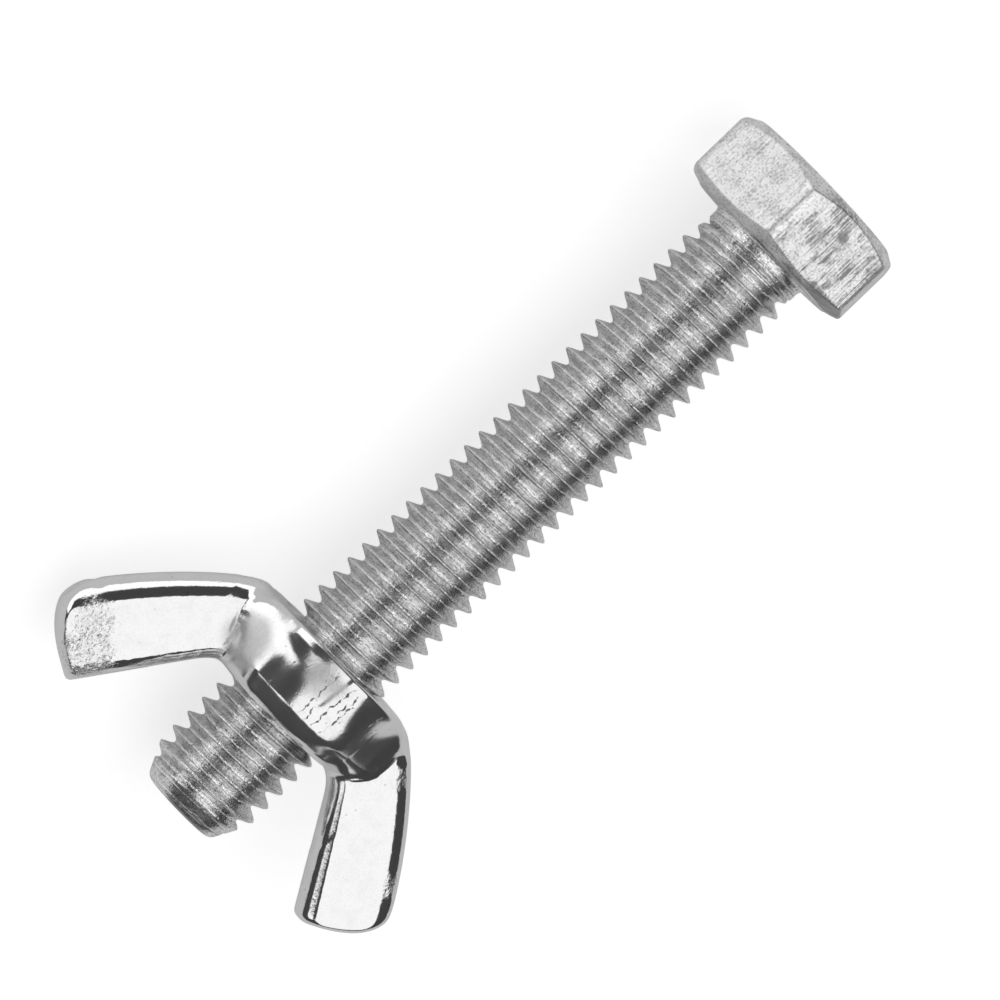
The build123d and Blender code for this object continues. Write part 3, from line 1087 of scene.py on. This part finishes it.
def plate(piece, material, tone, roughness, normal):
    """Ends a material with plain metal of this tone, roughness and relief, and puts it on the piece."""
    tree = material.node_tree
    shader = add(tree, "ShaderNodeBsdfPrincipled", Metallic=1.0)
    feed(tree, shader.inputs["Base Color"], tone)
    feed(tree, shader.inputs["Roughness"], roughness)
    feed(tree, shader.inputs["Normal"], normal)
    out = add(tree, "ShaderNodeOutputMaterial")
    tree.links.new(shader.outputs[0], out.inputs["Surface"])
    piece.data.materials.append(material)
    print(material.name, "nodes", len(tree.nodes))


# %% Satin zinc: places on the bolt
HEAD_EDGE = 0.02
TIP_FACE_EDGE = 0.16
SEAM_SPACING = 4.0

satin, tree = new_material("satin_zinc")
position = add(tree, "ShaderNodeTexCoord").outputs["Object"]
place = put(tree, round_place, Position=position)
bearing_run, tip_run = BEARING_X / MM, TIP_X / MM
on_head = ramp(tree, place["Run"], bearing_run - HEAD_EDGE, bearing_run + HEAD_EDGE, 1.0, 0.0)
on_end = ramp(tree, place["Run"], tip_run - TIP_FACE_EDGE, tip_run - HEAD_EDGE)
on_head = calc(tree, "MAXIMUM", on_head, on_end)
off_head = calc(tree, "SUBTRACT", 1.0, on_head)
winding = calc(tree, "MULTIPLY_ADD", place["Turn"], PITCH / (2 * pi), place["Run"])
crest_run = bearing_run + first_run + PITCH / 2
from_crest = calc(tree, "SUBTRACT", winding, crest_run - 20 * PITCH)
turned = scaled(tree, place["Turn"], SEAM_SPACING)
axes = add(tree, "ShaderNodeSeparateXYZ")
feed(tree, axes.inputs[0], position)
side_mm, up_mm = (calc(tree, "DIVIDE", axes.outputs[name], MM) for name in "YZ")


def seam_line(tree, shift, seed, wander, width):
    """A thin line that wanders along every turn of the thread, this far from the crest."""
    drift = calc(tree, "SUBTRACT", noise_of(tree, vector(tree, winding, turned, seed), 1.1, detail=4), 0.5)
    moved = calc(tree, "MULTIPLY_ADD", drift, wander, calc(tree, "ADD", from_crest, shift))
    return ramp(tree, calc(tree, "PINGPONG", moved, PITCH / 2), 0.0, width, 1.0, 0.0)


crest_seam = seam_line(tree, shift=0.0, seed=2.0, wander=0.1, width=0.07)
root_seam = seam_line(tree, shift=PITCH / 2, seed=5.0, wander=0.34, width=0.08)
root_fold = seam_line(tree, shift=PITCH / 2 - 0.1, seed=9.0, wander=0.3, width=0.05)
print("places and seams take", len(tree.nodes), "nodes")

# %% Satin zinc: relief
BOLT_RELIEF = 0.021

specks = put(tree, grain, Position=position, Size=0.16)
round_way = scaled(tree, place["Turn"], 3.5)
rolled = put(tree, streaks, Along=round_way, Across=winding, Lift=0.0, Length=2.6, Width=0.085)
drawn = put(tree, streaks, Along=place["Run"], Across=side_mm, Lift=up_mm, Length=2.2, Width=0.13)
nick_share = ramp(tree, on_head, 0.0, 1.0, 0.16, 0.03)
nicks = put(tree, pits, Position=position, Size=0.14, Share=nick_share)

lumps = ramp(tree, specks["Fine"], 0.4, 0.6)
seams = scaled(tree, calc(tree, "MAXIMUM", crest_seam, root_seam), calc(tree, "ADD", lumps, 0.35))
thread_height = sum_of(
    tree, (rolled["Height"], 1.7), (specks["Fine"], 1.5), (seams, 1.3), (root_fold, -1.0),
    (nicks["Mask"], -1.2),
)
head_height = sum_of(
    tree, (drawn["Height"], 1.7), (specks["Fine"], 0.7), (drawn["Scratch"], -0.9), (nicks["Mask"], -0.8)
)
height_mix = add(tree, "ShaderNodeMix", data_type="FLOAT")
feed(tree, height_mix.inputs[0], on_head)
feed(tree, height_mix.inputs[2], thread_height)
feed(tree, height_mix.inputs[3], head_height)
relief = bump(tree, height_mix.outputs[0], BOLT_RELIEF)
print("the relief is", BOLT_RELIEF, "mm deep")

# %% Satin zinc: dull and bright places on the thread
clouds = ramp(tree, specks["Cloud"], 0.35, 0.7)
grime = ramp(tree, specks["Fine"], 0.48, 0.6)
lines = scaled(tree, ramp(tree, rolled["Height"], 0.48, 0.64), off_head)
beside_crest = seam_line(tree, shift=-0.09, seed=2.0, wander=0.16, width=0.07)
beside_crest = scaled(tree, beside_crest, ramp(tree, specks["Cloud"], 0.4, 0.58, 0.2, 1.4))
beside_crest = scaled(tree, beside_crest, off_head)
folds = scaled(tree, root_fold, off_head)
bright_seams = scaled(tree, seams, off_head)
print("with the thread's marks", len(tree.nodes), "nodes")

# %% Satin zinc: painted reflection on the tip
# The dark patch on the tip's cone is painted reflection: the metal is darkened there as if it mirrored dark
# surroundings.
PAINTED_TIP_REFLECTION = Vector((TIP_X - 0.6 * MM, -0.8 * MM, AXIS_Z + 3.5 * MM))

near_tip = ramp(tree, place["Run"], tip_run - 11.5, tip_run - 9.0)
on_cone = ramp(tree, place["Run"], tip_run - 1.5, tip_run - 1.1)
painted_tip_reflection = scaled(tree, on_cone, patch(tree, position, PAINTED_TIP_REFLECTION, size=2.1, soft=0.5))
print("with the tip's painted reflection", len(tree.nodes), "nodes")

# %% Satin zinc: smudges on the head, and painted shade under it
SMUDGE = Vector((BEARING_X - 2.2 * MM, 0.3 * MM, 2 * AXIS_Z))

smudge = patch(tree, position, SMUDGE, size=3.5, soft=1.3)
smears = scaled(tree, ramp(tree, drawn["Height"], 0.4, 0.58), calc(tree, "ADD", smudge, 0.12))
blotches = ramp(tree, specks["Cloud"], 0.4, 0.6, 0.5, 1.4)
smears = scaled(tree, scaled(tree, smears, blotches), on_head)
# Painted shade: a band at the foot of the head, on one side, is darkened where the head meets the shank.
underside = ramp(tree, place["Run"], bearing_run - 0.75, bearing_run - 0.5)
painted_shade_under_head = scaled(tree, underside, scaled(tree, on_head, ramp(tree, side_mm, -0.6, 2.0)))
print("with the head's smudges and painted shade", len(tree.nodes), "nodes")

# %% Satin zinc: tone and roughness
BOLT_BRIGHT, BOLT_DARK = 0.96, 0.272
BOLT_SMOOTHEST = 0.07
HEAD_ROUGHER = 0.2
TIP_SMOOTHER = 0.05

dull = sum_of(
    tree, (clouds, 0.25), (nicks["Mask"], 0.5), (grime, 0.4), (lines, 0.45), (folds, 0.4), (smears, 0.6),
    (painted_shade_under_head, 0.8), (beside_crest, 0.42), (bright_seams, -0.8), (on_head, -0.12), (painted_tip_reflection, 0.95),
)
rough = sum_of(
    tree, (clouds, 0.1), (specks["Fine"], 0.14), (on_head, HEAD_ROUGHER), (near_tip, -TIP_SMOOTHER),
    plus=BOLT_SMOOTHEST,
)
plate(bolt, satin, shade(tree, dull, BOLT_BRIGHT, BOLT_DARK), rough, relief)

# %% [markdown]
# ## Bright zinc, for the wing nut
# The nut's plating is bright enough to mirror the lamps. Its flats carry a very fine grain, and its hub is
# a little softer and crazed with short cracks round the waist, where the forged skin stretched. The patch of
# scale near one tip and the blend at one wing's root stayed duller than the rest. Each crack is a thin line
# that wanders along the hub at a given place, and each patch a soft ball round a point on the skin. Random
# ones would be quicker, but they would turn up where no hammer or die had touched the nut.

# %% Bright zinc: cracks round the hub
CRACKS = [
    # centre in millimetres round the hub from its top, start and end height, width
    (-1.52, 0.4, 4.0, 0.07),
    (-1.05, 2.4, 4.1, 0.08),
    (-0.42, 0.3, 4.1, 0.08),
    (0.1, 0.5, 2.4, 0.06),
    (0.38, 1.2, 4.0, 0.07),
    (2.3, 0.4, 1.6, 0.09),
    (9.0, 0.5, 3.6, 0.07),
    (12.5, 0.6, 2.8, 0.08),
]
CRACK_RADIUS = 5.2

bright, tree = new_material("bright_zinc")
position = add(tree, "ShaderNodeTexCoord").outputs["Object"]
place = put(tree, round_place, Position=position)
rise = calc(tree, "SUBTRACT", place["Run"], NUT_X / MM)
arc = scaled(tree, place["Turn"], CRACK_RADIUS)
cracked = 0.0
for centre, start, end, width in CRACKS:
    mask = put(tree, crack, Along=rise, Across=arc, Centre=centre, Start=start, End=end, Width=width)["Mask"]
    cracked = calc(tree, "MAXIMUM", mask, cracked)
near_hub = ramp(tree, place["Radius"], 6.1, 6.4, 1.0, 0.0)
cracked = scaled(tree, cracked, near_hub)
print("cracks", len(CRACKS))

# %% Bright zinc: patches
PATCHES = {
    # height, reach, lift, radius and soft edge, all in millimetres
    "scale": [(10.7, -11.6, 1.43, 1.75, 0.5), (9.0, -12.6, 1.43, 1.4, 0.5)],
    "blend": [(3.1, -5.5, 2.5, 1.75, 0.5)],
    "root": [(3.6, -5.9, 1.7, 1.2, 0.5)],
    "apron": [(1.4, -0.9, 5.6, 1.2, 0.9)],
    "rim": [(7.7, 12.9, 1.1, 0.7, 0.4), (2.6, 8.3, 1.2, 0.6, 0.4)],
}


def patches_of(kind):
    """One mask for all the patches of a kind."""
    mask = 0.0
    for height, reach, lift, size, soft in PATCHES[kind]:
        middle = from_nut(np.array([height]), np.array([reach]), np.array([lift]))[0]
        mask = calc(tree, "MAXIMUM", patch(tree, position, middle, size, soft), mask)
    return mask


scale_patch, blend_patch, root_patch, apron_patch, rim_patch = (patches_of(kind) for kind in PATCHES)
print("with the patches", len(tree.nodes), "nodes")

# %% Bright zinc: relief
NUT_RELIEF = 0.012

fine = put(tree, grain, Position=position, Size=0.14)
peel = put(tree, grain, Position=position, Size=0.2)
nicks = put(tree, pits, Position=position, Size=0.1, Share=0.04)
rubbed = put(tree, streaks, Along=rise, Across=arc, Lift=place["Radius"], Length=1.6, Width=0.12)
rubbed = scaled(tree, rubbed["Height"], blend_patch)
surface = sum_of(
    tree, (rubbed, 1.6), (fine["Fine"], 0.3), (fine["Cloud"], 0.6), (nicks["Mask"], -0.3),
    (scaled(tree, peel["Fine"], scale_patch), 8.0), (scaled(tree, peel["Fine"], root_patch), 2.5),
    (scaled(tree, peel["Fine"], rim_patch), 5.0), (scaled(tree, fine["Fine"], apron_patch), 1.5),
    (cracked, -2.5),
)
relief = bump(tree, surface, NUT_RELIEF)
print("the relief is", NUT_RELIEF, "mm deep")

# %% Bright zinc: tone and roughness
NUT_BRIGHT, NUT_DARK = 0.824, 0.16
NUT_SMOOTHEST = 0.05
HUB_ROUGHER = 0.07

mottle = ramp(tree, fine["Fine"], 0.5, 0.64)
scaly = scaled(tree, scale_patch, ramp(tree, peel["Fine"], 0.5, 0.66))
dull = sum_of(
    tree, (ramp(tree, fine["Cloud"], 0.4, 0.7), 0.06), (mottle, 0.05), (cracked, 0.85), (rubbed, 0.25),
    (nicks["Mask"], 0.3), (scaly, 0.32),
)
rough = sum_of(
    tree, (fine["Cloud"], 0.06), (scale_patch, 0.05), (blend_patch, 0.32), (apron_patch, 0.3),
    (root_patch, 0.1), (cracked, 0.2), (near_hub, HUB_ROUGHER),
    plus=NUT_SMOOTHEST,
)
plate(nut, bright, shade(tree, dull, NUT_BRIGHT, NUT_DARK), rough, relief)
